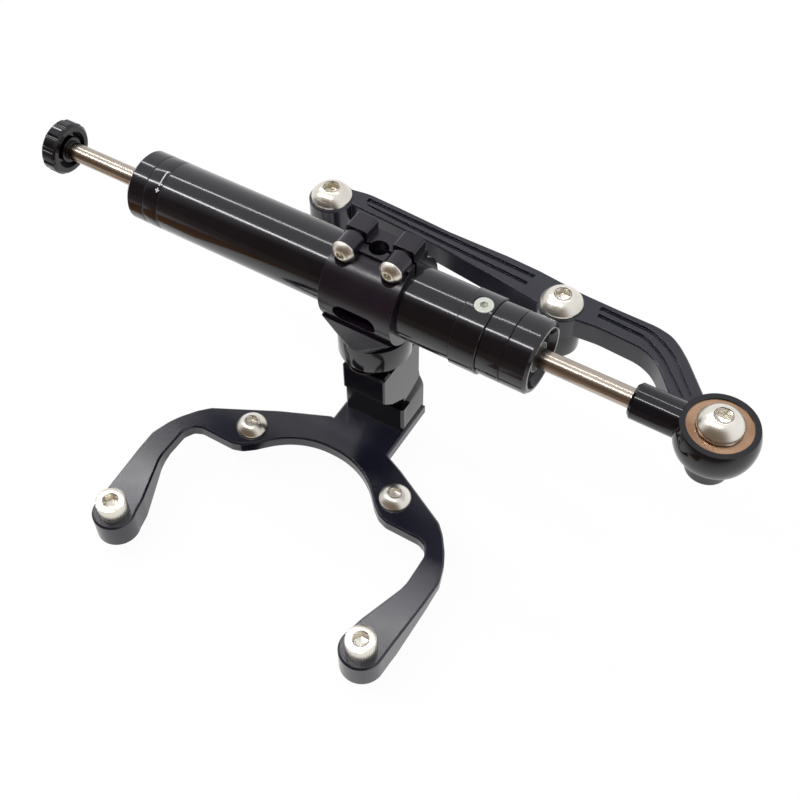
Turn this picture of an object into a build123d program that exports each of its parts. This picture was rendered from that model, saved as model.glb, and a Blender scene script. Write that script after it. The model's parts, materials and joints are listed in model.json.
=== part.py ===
from build123d import *
import os

os.makedirs("parts", exist_ok=True)

# Steering damper with its bracket, clamp and steering arm. Millimetres, +Z up.
# The origin lies midway between the two shoulder bolts, just under the plate.
# The damper axis runs along X, the rider side of the bracket faces -Y.

# Shared clearances and small sizes
run_gap = 0.03          # a shaft that turns or slides in its bush
seat_gap = 0.02         # pieces screwed or pressed together
face_gap = 0.3          # faces that pass each other
screw_gap = 0.25        # a screw through a plain hole
overrun = 5.0           # how far a cutting tool runs past the piece

# Screw heads, as shares of their own radius or height
button_rim_share = 0.2
button_dome_shares = (0.72, 0.78)
button_crown_share = 0.36
button_key_share = 0.6
socket_depth_share = 0.6
screw_tip_share = 0.2
thread_under = 0.2      # a thread's crest is this much under the plain shank
shank_out = 0.5         # plain shank that still shows under what the screw holds

# Bracket plate
plate_top = 9.5
plate_t = 5.5
plate_bevel = 0.8
half_width = 74.3       # centre line to the elbow of a leg
leg_length = 67.0       # shoulder bolts to tip screws
tip_pitch = 125.0
tip_r = 9.5
tip_drop = 3.5          # how far the tips reach below the origin
shoulder_pitch = 75.0
ramp_start_share = 0.42
ramp_end_share = 0.85
tab_left = 16.0         # tab edge left of the post's middle
tab_right = 16.1
tab_back = 50.3
tab_root_share = 0.14
rear_shares = ((0.141, 0.349), (0.431, 0.207), (0.805, -0.010), (0.865, -0.078), (0.929, -0.179),
               (0.964, -0.254), (1.000, -0.381), (0.996, -0.537), (0.972, -0.925))
inner_shares = ((0.746, -0.836), (0.837, -0.537), (0.845, -0.478), (0.843, -0.269), (0.810, -0.206),
                (0.760, -0.182), (0.538, -0.182), (0.478, -0.158), (0.424, -0.110), (0.363, -0.039))
arch_mid_share = 0.192
arch_mid_x_share = 0.5
arch_mid_y_share = 0.80
arch_top_share = 0.125
shank_r = 4.0           # M8 screws of the bracket
shank_below = 10.0      # how far they stand out under the bracket
shoulder_below = 5.0
shoulder_head_r = 7.0
shoulder_head_h = 4.4
tip_head_r = 6.5
tip_head_h = 8.0
cap_key_share = 0.75

# Swivel axis and damper axis
swivel_x = 8.6
swivel_y = 25.5
damper_y = 32.5
damper_z = 98.3

# Post
foot_x = 7.0
foot_front = 32.0
foot_back = 50.0
foot_half = 15.2
ledge_h = 14.6
bulge_shares = (0.72, 0.52)
shoulder_h = 12.4
column_flat = 5.5       # half the flat front of the column
slant = 6.0
foot_bevel = 1.2
upper_h = 11.6
post_h = 48.5
column_r = 9.8
upper_back = 47.8
post_bevel = 0.7
post_screw_pitch = 15.0
post_screw_r = 3.0
post_screw_head_r = 5.6
post_screw_grip = 12.0
bolt_recess = 5.2
bolt_recess_r = 6.4

# Swivel bolt, bushes and neck
pivot_r = 4.0
pivot_head_r = 6.0
pivot_head_h = 3.8
pivot_grip = 7.0        # thread up in the clamp
bush_wall = 1.5
bush_length = 3.0
bush_flange_r = 7.9
bush_flange_t = 1.0
neck_r = 6.9

# Cylinder and what closes it
tube_r = 15.0
tube_wall = 3.5
bore_r = tube_r - tube_wall
rear_face = -103.5
rear_cap_l = 8.7
rear_ring_l = 7.3
collar_start = 50.5
collar_l = 11.5
collar_step = 0.8       # the collar stands proud of the tube
collar_r = tube_r + collar_step
reservoir_l = 10.0
front_face = 83.2
edge_round = 1.2
seam_bevel = 0.35
rear_spigot_l = 9.0
bulkhead_l = 9.0
bulkhead_reach = 4.0    # how far the bulkhead stands back into the tube
recess_wall = 3.4
recess_r = tube_r - recess_wall
recess_deep = 3.0
nose_r = 6.6
nose_l = 1.4
ring_groove = 1.6
ring_cord_share = 0.92

# Rod, piston and valve
rod_r = 4.0
rod_left = -147.5
rod_in_end = 9.0        # thread in the rod end
needle_bore = 1.7
needle_drive = 3.0      # hexagonal end of the needle, out of the rod
needle_sunk = 0.8       # its round part starts this far inside the rod
needle_key = 1.0        # half across its flats
needle_waist_r = 1.05
needle_gap = 1.8        # open valve, as in the photograph
needle_stroke = 1.2
piston_x = -16.0
piston_l = 12.0
piston_ring_l = 4.0
shim_t = 0.4
shim_margin = 2.0
shim_r = bore_r - shim_margin
shim_step_share = 0.75
clip_t = 1.2
clip_r = 5.6
port_r = 0.9
port_places_share = 0.64
port_count = 6
bush_l = 7.0
rod_bush_wall = 1.5
seal_l = 3.0
seal_wall = 2.6
wiper_l = 2.0
wiper_wall = 1.8
compensator_l = 4.6
compensator_gap = 2.2

# Filler plug in the collar
plug_x = 57.2
plug_r = 4.1
plug_depth = 3.6
plug_socket = 3.0
plug_hole_share = 0.3

# Adjuster knob
knob_r = 11.5
knob_l = 7.5
knob_right = -145.5
knob_flutes = 12
flute_r = 1.7
flute_out_share = 0.6
knob_recess_r = 8.2
knob_recess_in_r = 5.6
knob_recess_deep = 3.2
knob_screw_r = 3.0
knob_screw_l = 1.6

# Rod end, bearing and bolt
rod_end_x = 152.7
neck_face = 120.2
rod_end_neck_r = 7.2
eye_r = 15.8
eye_top_r = 14.5
eye_half = 6.4
race_r = 12.25
race_half = 5.9
ball_r = 10.4
ball_half = 6.7
end_bolt_r = 5.0
end_bolt_turn = 30
end_bolt_head_r = 8.75
end_bolt_head_h = 5.8
end_spacer_t = 2.4
end_spacer_r = 7.2

# Steering arm
arm_length = 191.2      # rod end to the far bolt
arm_depth = 41.5
arm_t = 10.0
arm_boss_r = 9.8
arm_end_r = 8.3
arm_bevel = 0.6
arm_mid_shares = (0.4127, 0.8868)
arm_far_shares = ((0.975, 1.205), (0.932, 1.238), (0.850, 1.222), (0.716, 1.185), (0.571, 1.186),
                  (0.495, 1.169), (0.445, 1.142), (0.384, 1.110), (0.300, 1.098), (0.215, 1.094),
                  (0.179, 1.058), (0.153, 0.976), (0.125, 0.855))
arm_near_shares = ((0.131, 0.434), (0.160, 0.585), (0.178, 0.670), (0.200, 0.730), (0.224, 0.764),
                   (0.315, 0.786), (0.420, 0.740), (0.592, 0.865), (0.726, 0.945), (0.975, 1.010))
limb_half = 6.05
arm_bolt_r = 5.0
arm_bolt_head_r = 8.75
arm_bolt_head_h = 5.4
spacer_r = 9.2
spacer_l = 12.5
bolt_out = 12.0
groove_deep = 1.1
left_groove_shares = (((0.925, 1.175), (0.495, 1.085), (0.497, 1.005), (0.925, 1.118)),
                      ((0.923, 1.095), (0.499, 0.968), (0.502, 0.890), (0.905, 1.060)))
right_far_shares = (((0.336, 1.045), (0.222, 1.020), (0.190, 0.955), (0.155, 0.850), (0.083, 0.475),
                     (0.090, 0.448), (0.163, 0.815), (0.198, 0.905), (0.228, 0.963), (0.338, 0.988)),
                    ((0.334, 0.950), (0.228, 0.925), (0.203, 0.865), (0.171, 0.770), (0.096, 0.425),
                     (0.103, 0.398), (0.179, 0.730), (0.211, 0.815), (0.234, 0.868), (0.332, 0.893)))

# Clamp
clamp_x = 10.7
clamp_half = 16.3
clamp_wall = 3.6
clamp_r = tube_r + clamp_wall
ear_front = 4.0         # in front of the damper axis
ear_back = 10.2
ear_rise = 1.6           # above the clamp's ring
ear_top = clamp_r + ear_rise
lug_r = 4.7
lug_front = 7.2
lug_corner = 1.2
screw_pitch = 21.0
screw_rise = 1.4
screw_h = clamp_r + screw_rise
clamp_screw_r = 2.5
clamp_screw_l = 16.0
clamp_head_r = 5.0
clamp_head_h = 3.0
split_y = 0.4
split_w = 1.4
relief_r = 4.0
relief_y = 1.1
window_l = 19.5
window_h = 8.6
window_drop = 2.4
stem_r = 9.0
stem_top_drop = 10.0
stem_front_wall = 2.4
stem_front = tube_r + stem_front_wall
stem_back = 9.0
stem_below = 5.7         # under the clamp's ring
stem_bottom_drop = clamp_r + stem_below
stem_corner = 1.2
stem_round_share = 0.9
slit_share = 0.8         # the slit ends inside the bore

# Places worked out from the sizes above
post_top = plate_top + post_h
foot_mid = (foot_front + foot_back) / 2
stem_bottom = damper_z - stem_bottom_drop
arm_top = damper_z - ball_half - end_spacer_t
arm_bottom = arm_top - arm_t
rear_ring_x = rear_face + rear_cap_l
tube_start = rear_ring_x + rear_ring_l
reservoir_start = collar_start + collar_l
cap_start = reservoir_start + reservoir_l
bulkhead_start = collar_start - bulkhead_reach
bulkhead_end = bulkhead_start + bulkhead_l
rear_inner = tube_start + rear_spigot_l
front_seat = front_face - recess_deep
arm_far_x = rod_end_x - arm_length
arm_far_y = damper_y + arm_depth
arm_mid_x = rod_end_x - arm_length * arm_mid_shares[0]
arm_mid_y = damper_y + arm_depth * arm_mid_shares[1]

damper_plane = Plane(origin=(0, damper_y, damper_z), x_dir=(1, 0, 0), z_dir=(0, -1, 0))
damper_axis = Axis((0, damper_y, damper_z), (1, 0, 0))


def turned(points, plane=damper_plane, axis=damper_axis, mode=Mode.ADD):
    """Turn a closed half section, given as pairs along and out from the axis."""
    with BuildSketch(plane) as section:
        with BuildLine():
            Polyline(*points, close=True)
        make_face()
    revolve(section.sketch, axis=axis, mode=mode)


def turned_ring(start, length, inside, outside, mode=Mode.ADD):
    """A plain ring on the damper axis."""
    end = start + length
    turned(((start, inside), (end, inside), (end, outside), (start, outside)), mode=mode)


def turned_groove(start, length, inside, outside):
    """A ring cut out of the piece in work."""
    turned_ring(start, length, inside, outside, mode=Mode.SUBTRACT)


def cord_ring(middle, centre_r, cord_r):
    """One O-ring on the damper axis."""
    with BuildSketch(damper_plane) as section:
        with Locations((middle, centre_r)):
            Circle(cord_r)
    revolve(section.sketch, axis=damper_axis)


def upright(place, points, mode=Mode.ADD):
    """Turn a half section, given as pairs out from and up along a vertical axis through the place."""
    turned(points, Plane(origin=place, x_dir=(1, 0, 0), z_dir=(0, -1, 0)), Axis(place, (0, 0, 1)), mode)


def hex_socket(place, up, key, depth, turn=0):
    """Cut a hex socket down from the place against the direction up."""
    with BuildSketch(Plane(origin=place, x_dir=(1, 0, 0), z_dir=up)) as socket:
        RegularPolygon(radius=key, side_count=6, major_radius=False, rotation=turn)
    extrude(socket.sketch, amount=-depth, mode=Mode.SUBTRACT)


def button_bolt(place, up, head_r, head_h, stem, grip, length, key, turn=0):
    """One button-head bolt with a hex socket: plain over its grip, threaded beyond."""
    rim = head_h * button_rim_share
    dome = (head_r * button_dome_shares[0], head_h * button_dome_shares[1])
    crown_r = head_r * button_crown_share
    tip = stem * screw_tip_share
    crest = stem - thread_under
    side = Vector(1, 0, 0).cross(Vector(*up))
    with BuildSketch(Plane(origin=place, x_dir=(1, 0, 0), z_dir=side)) as section:
        with BuildLine():
            Polyline((crown_r, head_h), (0, head_h), (0, -length), (crest - tip, -length),
                     (crest, tip - length), (crest, -grip), (stem, -grip), (stem, 0), (head_r, 0),
                     (head_r, rim))
            ThreePointArc((head_r, rim), dome, (crown_r, head_h))
        make_face()
    revolve(section.sketch, axis=Axis(place, up))
    hex_socket(Vector(*place) + Vector(*up) * head_h, up, key, head_h * socket_depth_share, turn)


def cap_screw(place, head_r, head_h, stem, grip, length, key):
    """One upright socket cap screw: plain over its grip, threaded below."""
    tip = stem * screw_tip_share
    edge = tip / 2
    crest = stem - thread_under
    upright(place, ((0, -length), (crest - tip, -length), (crest, tip - length), (crest, -grip),
                    (stem, -grip), (stem, 0), (head_r, 0), (head_r, head_h - edge),
                    (head_r - edge, head_h), (0, head_h)))
    hex_socket(Vector(*place) + Vector(0, 0, head_h), (0, 0, 1), key, head_h * socket_depth_share)


# Bracket plate with its two legs and the tab for the post
def bracket_point(pair):
    return (pair[0] * half_width, pair[1] * leg_length)


rear_points = [bracket_point(pair) for pair in rear_shares]
inner_points = [bracket_point(pair) for pair in inner_shares]
arch_end = inner_points[-1]
arch_top = (0, arch_top_share * leg_length)
arch_mid = (arch_end[0] * arch_mid_x_share,
            arch_end[1] + (arch_top[1] - arch_end[1]) * arch_mid_y_share)
ramp_start = -ramp_start_share * leg_length
ramp_end = -ramp_end_share * leg_length
plate_under = plate_top - plate_t

with BuildPart() as tank_bracket:
    with BuildSketch(Plane.XY.offset(-tip_drop)):
        with BuildLine():
            Polyline(arch_top, (0, rear_points[0][1]), *rear_points, (tip_pitch / 2 + tip_r, -leg_length),
                     (tip_pitch / 2 - tip_r, -leg_length), *inner_points)
            ThreePointArc(arch_end, arch_mid, arch_top)
        make_face()
        mirror(about=Plane.YZ)
        with Locations((tip_pitch / 2, -leg_length), (-tip_pitch / 2, -leg_length)):
            Circle(tip_r)
        tab_root = tab_root_share * leg_length
        with Locations((foot_x + (tab_right - tab_left) / 2, (tab_back + tab_root) / 2)):
            Rectangle(tab_left + tab_right, tab_back - tab_root)
    extrude(amount=plate_top + tip_drop)
    chamfer(tank_bracket.faces().sort_by(Axis.Z)[-1].outer_wire().edges(), length=plate_bevel)
    with BuildSketch(Plane.YZ):
        with BuildLine():
            Polyline((ramp_end, -tip_drop - overrun), (ramp_end, -tip_drop), (ramp_start, plate_under),
                     (tab_back + overrun, plate_under), (tab_back + overrun, -tip_drop - overrun),
                     close=True)
        make_face()
    extrude(amount=half_width + overrun, both=True, mode=Mode.SUBTRACT)
    with Locations((tip_pitch / 2, -leg_length, 0), (-tip_pitch / 2, -leg_length, 0),
                   (shoulder_pitch / 2, 0, 0), (-shoulder_pitch / 2, 0, 0)):
        Cylinder(shank_r + screw_gap, 2 * (plate_top + overrun), mode=Mode.SUBTRACT)
    cone_h = post_screw_head_r - post_screw_r
    with Locations((foot_x - post_screw_pitch / 2, foot_mid, plate_under),
                   (foot_x + post_screw_pitch / 2, foot_mid, plate_under)):
        Cylinder(post_screw_r + screw_gap, plate_top * 2 + overrun, mode=Mode.SUBTRACT)
        Cone(post_screw_head_r + screw_gap, post_screw_r + screw_gap, cone_h,
             align=(Align.CENTER, Align.CENTER, Align.MIN), mode=Mode.SUBTRACT)

# Post: foot block, shouldered column above it and a round-nosed block that reaches forward
ledge_z = plate_top + ledge_h
nose_z = post_top - upper_h
column_left = swivel_x - column_r
column_right = swivel_x + column_r
foot_left = foot_x - foot_half
foot_right = foot_x + foot_half
bulge_z = ledge_z + shoulder_h * bulge_shares[1]
bulge_right = column_right + (foot_right - column_right) * bulge_shares[0]
bulge_left = column_left + (foot_left - column_left) * bulge_shares[0]
shoulder_z = ledge_z + shoulder_h
column_front = foot_front + seam_bevel
slant_back = column_front + slant

with BuildPart() as bracket_post:
    with BuildSketch(Plane(origin=(0, foot_front, 0), x_dir=(1, 0, 0), z_dir=(0, -1, 0))):
        with BuildLine():
            Polyline((foot_right, ledge_z), (foot_left, ledge_z))
            ThreePointArc((foot_left, ledge_z), (bulge_left, bulge_z), (column_left, shoulder_z))
            Polyline((column_left, shoulder_z), (column_left, nose_z), (column_right, nose_z),
                     (column_right, shoulder_z))
            ThreePointArc((column_right, shoulder_z), (bulge_right, bulge_z), (foot_right, ledge_z))
        make_face()
    extrude(amount=foot_front - foot_back)
    with BuildSketch(Plane.XY.offset(ledge_z)):
        with BuildLine():
            Polyline((swivel_x - column_flat, column_front), (swivel_x + column_flat, column_front),
                     (foot_right, slant_back), (foot_right, foot_back), (foot_left, foot_back),
                     (foot_left, slant_back), close=True)
        make_face()
    extrude(amount=nose_z - ledge_z, mode=Mode.INTERSECT)
    with BuildSketch(Plane.XY.offset(plate_top)) as foot_outline:
        with Locations((foot_x, foot_mid)):
            Rectangle(2 * foot_half, foot_back - foot_front)
        chamfer(foot_outline.vertices().group_by(Axis.Y)[0], length=foot_bevel)
    extrude(amount=ledge_h)
    with BuildSketch(Plane.YZ.offset(swivel_x)):
        with BuildLine():
            Polyline((foot_back, ledge_z), (upper_back, shoulder_z), (upper_back, post_top),
                     (foot_back + overrun, post_top), (foot_back + overrun, ledge_z), close=True)
        make_face()
    extrude(amount=2 * foot_half, both=True, mode=Mode.SUBTRACT)
    with BuildSketch(Plane.XY.offset(nose_z)):
        with Locations((swivel_x, swivel_y)):
            Circle(column_r)
        with Locations((swivel_x, (swivel_y + upper_back) / 2)):
            Rectangle(2 * column_r, upper_back - swivel_y)
    extrude(amount=upper_h)
    chamfer(bracket_post.faces().sort_by(Axis.Z)[-1].outer_wire().edges(), length=post_bevel)
    with Locations((swivel_x, swivel_y, nose_z + bolt_recess)):
        Cylinder(bolt_recess_r, bolt_recess + overrun,
                 align=(Align.CENTER, Align.CENTER, Align.MAX), mode=Mode.SUBTRACT)
        Cylinder(pivot_r + bush_wall + seat_gap, 2 * upper_h, mode=Mode.SUBTRACT)
    with Locations((foot_x - post_screw_pitch / 2, foot_mid, plate_top),
                   (foot_x + post_screw_pitch / 2, foot_mid, plate_top)):
        Cylinder(post_screw_r + seat_gap, 2 * (post_screw_grip + face_gap), mode=Mode.SUBTRACT)

# Screws that hold the post, countersunk from below
with BuildPart() as post_screws:
    for side in (-1, 1):
        place = (foot_x + side * post_screw_pitch / 2, foot_mid, plate_under)
        top = plate_t + post_screw_grip
        upright(place, ((0, 0), (post_screw_head_r, 0), (post_screw_r, cone_h),
                (post_screw_r, top), (0, top)))
        with BuildSketch(Plane(place)):
            RegularPolygon(radius=post_screw_r * button_key_share, side_count=6, major_radius=False)
        extrude(amount=cone_h, mode=Mode.SUBTRACT)

# Screws of the bracket itself
with BuildPart() as shoulder_bolts:
    for side in (-1, 1):
        button_bolt((side * shoulder_pitch / 2, 0, plate_top), (0, 0, 1), shoulder_head_r, shoulder_head_h,
                    shank_r, plate_t + shank_out, plate_top + shoulder_below, shank_r * button_key_share)

with BuildPart() as tip_screws:
    for side in (-1, 1):
        tip_grip = plate_top + tip_drop
        cap_screw((side * tip_pitch / 2, -leg_length, plate_top), tip_head_r, tip_head_h, shank_r,
                  tip_grip + shank_out, tip_grip + shank_below, shank_r * cap_key_share)

# Swivel: two flanged bushes in the post, the bolt that turns in them, the neck above
bush_out = pivot_r + bush_wall
lower_seat = nose_z + bolt_recess
head_top = lower_seat - bush_flange_t - face_gap

with BuildPart() as swivel_bushes:
    for seat, way, flange_r in ((post_top, 1, bush_flange_r), (lower_seat, -1, bolt_recess_r - face_gap)):
        rim = way * bush_flange_t
        end = -way * bush_length
        upright((swivel_x, swivel_y, seat),
                ((pivot_r + run_gap, rim), (flange_r, rim), (flange_r, 0),
                 (bush_out, 0), (bush_out, end), (pivot_r + run_gap, end)))

with BuildPart() as swivel_bolt:
    place = (swivel_x, swivel_y, head_top)
    reach = stem_bottom + pivot_grip - head_top
    upright(place, ((0, -pivot_head_h), (pivot_head_r, -pivot_head_h), (pivot_head_r, 0),
            (pivot_r, 0), (pivot_r, reach), (0, reach)))
    with BuildSketch(Plane(place).offset(-pivot_head_h)):
        RegularPolygon(radius=pivot_r * cap_key_share, side_count=6, major_radius=False)
    extrude(amount=pivot_head_h * socket_depth_share, mode=Mode.SUBTRACT)

neck_bottom = post_top + bush_flange_t + face_gap
with BuildPart() as swivel_neck:
    with BuildSketch(Plane.XY.offset(neck_bottom)):
        with Locations((swivel_x, swivel_y)):
            Circle(neck_r)
            Circle(pivot_r + seat_gap, mode=Mode.SUBTRACT)
    extrude(amount=stem_bottom - neck_bottom)
    chamfer(swivel_neck.faces().sort_by(Axis.Z)[0].outer_wire().edges(), length=seam_bevel)

# Split clamp: ring, ears, two screw lugs and the stem down to the neck
clamp_plane = Plane(origin=(clamp_x, damper_y, damper_z), x_dir=(0, 1, 0), z_dir=(1, 0, 0))
front_seat_y = damper_y - lug_front
lug_plane = Plane(origin=(clamp_x, front_seat_y, damper_z + screw_h), x_dir=(1, 0, 0), z_dir=(0, -1, 0))
lug_places = ((-screw_pitch / 2, 0), (screw_pitch / 2, 0))
slit_h = ear_top - tube_r * slit_share

with BuildPart() as damper_clamp:
    with BuildSketch(clamp_plane):
        Circle(clamp_r)
        with Locations(((ear_back - ear_front) / 2, ear_top / 2)):
            Rectangle(ear_back + ear_front, ear_top)
    extrude(amount=clamp_half, both=True)
    with BuildSketch(lug_plane):
        with Locations(*lug_places):
            Circle(lug_r)
    extrude(amount=-lug_front - ear_back)
    with BuildSketch(lug_plane.offset(-lug_front - split_y)):
        with Locations(*lug_places):
            RectangleRounded(2 * lug_r, 2 * lug_r, lug_corner)
    extrude(amount=split_y - ear_back)
    with BuildSketch(Plane.XY.offset(damper_z - stem_top_drop)):
        with Locations((clamp_x, damper_y + (stem_back - stem_front) / 2)):
            RectangleRounded(2 * clamp_half, stem_back + stem_front, stem_corner)
    with BuildSketch(Plane.XY.offset(stem_bottom)):
        with Locations((swivel_x, swivel_y)):
            RectangleRounded(2 * stem_r, 2 * stem_r, stem_r * stem_round_share)
    loft()
    with BuildSketch(clamp_plane):
        Circle(tube_r + seat_gap)
    extrude(amount=clamp_half + overrun, both=True, mode=Mode.SUBTRACT)
    with BuildSketch(clamp_plane):
        with Locations((split_y + split_w / 2, ear_top + lug_r)):
            Rectangle(split_w, 2 * (slit_h + lug_r))
    extrude(amount=clamp_half + overrun, both=True, mode=Mode.SUBTRACT)
    with Locations((clamp_x, damper_y + relief_y, damper_z + ear_top)):
        Cylinder(relief_r, 2 * slit_h, mode=Mode.SUBTRACT)
    with BuildSketch(damper_plane):
        with Locations((clamp_x, -window_drop)):
            SlotOverall(window_l, window_h)
    extrude(amount=clamp_r + overrun, mode=Mode.SUBTRACT)
    with BuildSketch(lug_plane):
        with Locations(*lug_places):
            Circle(clamp_screw_r + seat_gap)
    extrude(amount=ear_back + lug_front + overrun, both=True, mode=Mode.SUBTRACT)
    with BuildSketch(lug_plane):
        with Locations(*lug_places):
            Circle(clamp_head_r + seat_gap)
    extrude(amount=clamp_head_h + overrun, mode=Mode.SUBTRACT)
    with Locations((swivel_x, swivel_y, stem_bottom)):
        Cylinder(pivot_r + seat_gap, 2 * (pivot_grip + face_gap), mode=Mode.SUBTRACT)

with BuildPart() as clamp_screws:
    for side in (-1, 1):
        place = (clamp_x + side * screw_pitch / 2, front_seat_y, damper_z + screw_h)
        button_bolt(place, (0, -1, 0), clamp_head_r, clamp_head_h, clamp_screw_r,
                    lug_front - split_y, clamp_screw_l, clamp_screw_r * button_key_share)

# Cylinder, its collar, the reservoir housing and both caps
spigot_r = bore_r - seat_gap
bush_seat_r = rod_r + rod_bush_wall + seat_gap
seal_seat_r = rod_r + seal_wall + seat_gap
wiper_seat_r = rod_r + wiper_wall + seat_gap

with BuildPart() as cylinder_tube:
    turned(((tube_start, bore_r), (collar_start, bore_r), (collar_start, tube_r - seam_bevel),
            (collar_start - seam_bevel, tube_r), (tube_start + seam_bevel, tube_r),
            (tube_start, tube_r - seam_bevel)))

with BuildPart() as rear_ring:
    turned(((rear_ring_x, bore_r), (tube_start, bore_r), (tube_start, tube_r - seam_bevel),
            (tube_start - seam_bevel, tube_r), (rear_ring_x + seam_bevel, tube_r),
            (rear_ring_x, tube_r - seam_bevel)))

rear_bush_x = rear_inner - bush_l
rear_seal_x = rear_face + wiper_l + seal_l
rear_groove_x = tube_start + ring_groove
with BuildPart() as rear_cap:
    turned(((rear_face, rod_r + face_gap), (rear_inner, rod_r + face_gap), (rear_inner, spigot_r),
            (rear_ring_x, spigot_r), (rear_ring_x, tube_r - seam_bevel),
            (rear_ring_x - seam_bevel, tube_r), (rear_face + edge_round, tube_r),
            (rear_face, tube_r - edge_round)))
    turned_groove(rear_face - overrun, overrun + wiper_l, 0, wiper_seat_r)
    turned_groove(rear_seal_x, seal_l, 0, seal_seat_r)
    turned_groove(rear_bush_x, bush_l + overrun, 0, bush_seat_r)
    turned_groove(rear_groove_x, 2 * ring_groove, spigot_r - ring_groove, spigot_r + overrun)

with BuildPart() as filler_collar:
    turned(((collar_start, bore_r), (reservoir_start, bore_r), (reservoir_start, collar_r - seam_bevel),
            (reservoir_start - seam_bevel, collar_r), (collar_start + seam_bevel, collar_r),
            (collar_start, collar_r - seam_bevel)))
    with Locations((plug_x, damper_y, damper_z + collar_r)):
        Cylinder(plug_r + seat_gap, 2 * plug_depth, mode=Mode.SUBTRACT)
    with Locations((plug_x, damper_y, damper_z + collar_r)):
        Cylinder(plug_r * plug_hole_share, 2 * collar_r - bore_r, mode=Mode.SUBTRACT)

with BuildPart() as filler_plug:
    plug_top = Plane.XY.offset(damper_z + collar_r - seam_bevel)
    with BuildSketch(plug_top):
        with Locations((plug_x, damper_y)):
            Circle(plug_r)
    extrude(amount=seam_bevel - plug_depth + seat_gap)
    chamfer(filler_plug.faces().sort_by(Axis.Z)[-1].outer_wire().edges(), length=seam_bevel)
    with BuildSketch(plug_top):
        with Locations((plug_x, damper_y)):
            RegularPolygon(radius=plug_socket / 2, side_count=6, major_radius=False)
    extrude(amount=-plug_depth / 2, mode=Mode.SUBTRACT)

with BuildPart() as reservoir_housing:
    turned(((reservoir_start, bore_r), (cap_start, bore_r), (cap_start, tube_r - seam_bevel),
            (cap_start - seam_bevel, tube_r), (reservoir_start + seam_bevel, tube_r),
            (reservoir_start, tube_r - seam_bevel)))

front_bush_x = cap_start - ring_groove
front_seal_x = front_bush_x + bush_l + seat_gap
front_wiper_x = front_seat + nose_l - wiper_l
with BuildPart() as front_cap:
    turned(((front_bush_x, rod_r + face_gap), (front_seat + nose_l, rod_r + face_gap),
            (front_seat + nose_l, nose_r - seam_bevel), (front_seat + nose_l - seam_bevel, nose_r),
            (front_seat, nose_r + seam_bevel), (front_seat, recess_r),
            (front_face, tube_r - 2 * edge_round), (front_face, tube_r - edge_round),
            (front_face - edge_round, tube_r), (cap_start + seam_bevel, tube_r),
            (cap_start, tube_r - seam_bevel), (cap_start, spigot_r), (front_bush_x, spigot_r)))
    turned_groove(front_bush_x - overrun, overrun + bush_l, 0, bush_seat_r)
    turned_groove(front_wiper_x, wiper_l + overrun, 0, wiper_seat_r)

bulkhead_groove_x = bulkhead_start + ring_groove
bulkhead_seal_x = bulkhead_end - seal_l
with BuildPart() as bulkhead:
    turned_ring(bulkhead_start, bulkhead_l, rod_r + face_gap, spigot_r)
    turned_groove(bulkhead_start - overrun, overrun + bulkhead_l - seal_l - ring_groove, 0, bush_seat_r)
    turned_groove(bulkhead_seal_x, seal_l + overrun, 0, seal_seat_r)
    turned_groove(bulkhead_groove_x, 2 * ring_groove, spigot_r - ring_groove, spigot_r + overrun)

# Bushes, seals and wipers on the rod
slide_r = rod_r + run_gap
with BuildPart() as rod_bushes:
    turned_ring(rear_bush_x, bush_l, slide_r, rod_r + rod_bush_wall)
    turned_ring(bulkhead_start, bulkhead_l - seal_l - ring_groove, slide_r, rod_r + rod_bush_wall)
    turned_ring(front_bush_x, bush_l, slide_r, rod_r + rod_bush_wall)

with BuildPart() as rod_seals:
    turned_ring(rear_seal_x, seal_l, slide_r, rod_r + seal_wall)
    turned_ring(bulkhead_seal_x, seal_l, slide_r, rod_r + seal_wall)

with BuildPart() as rod_wipers:
    turned_ring(rear_face, wiper_l, slide_r, rod_r + wiper_wall)
    turned_ring(front_wiper_x, wiper_l, slide_r, rod_r + wiper_wall)

cord_r = ring_groove * ring_cord_share / 2
cord_middle_r = spigot_r - ring_groove / 2
with BuildPart() as gland_orings:
    cord_ring(rear_groove_x + ring_groove, cord_middle_r, cord_r)
    cord_ring(bulkhead_groove_x + ring_groove, cord_middle_r, cord_r)

# Floating piston that takes up the oil's expansion
compensator_x = bulkhead_end + compensator_gap
with BuildPart() as compensator_piston:
    turned_ring(compensator_x, compensator_l, slide_r, bore_r - run_gap)
    turned_groove(compensator_x + (compensator_l - ring_groove) / 2, ring_groove,
                  bore_r - run_gap - ring_groove, bore_r + overrun)

with BuildPart() as compensator_oring:
    cord_ring(compensator_x + compensator_l / 2, bore_r - run_gap - ring_groove / 2, cord_r)

# Piston, its ring, the valve shims and the clips that hold them on the rod
piston_r = bore_r - face_gap
ring_x = piston_x - piston_ring_l / 2
port_ring_r = bore_r * port_places_share
with BuildPart() as piston:
    turned_ring(piston_x - piston_l / 2, piston_l, rod_r + seat_gap, piston_r)
    turned_groove(ring_x, piston_ring_l, piston_r - ring_groove, piston_r + overrun)
    port_plane = Plane(origin=(piston_x, damper_y, damper_z), x_dir=(0, 1, 0), z_dir=(1, 0, 0))
    with BuildSketch(port_plane):
        with PolarLocations(port_ring_r, port_count):
            Circle(port_r)
    extrude(amount=piston_l, both=True, mode=Mode.SUBTRACT)

with BuildPart() as piston_ring:
    turned_ring(ring_x + seat_gap, piston_ring_l - 2 * seat_gap,
                piston_r - ring_groove + seat_gap, bore_r - run_gap)

with BuildPart() as valve_shims:
    turned_ring(piston_x + piston_l / 2, shim_t, rod_r + seat_gap, shim_r)
    turned_ring(piston_x + piston_l / 2 + shim_t, shim_t, rod_r + seat_gap, shim_r * shim_step_share)
    turned_ring(piston_x - piston_l / 2 - shim_t, shim_t, rod_r + seat_gap, shim_r)
    turned_ring(piston_x - piston_l / 2 - 2 * shim_t, shim_t, rod_r + seat_gap, shim_r * shim_step_share)

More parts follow.
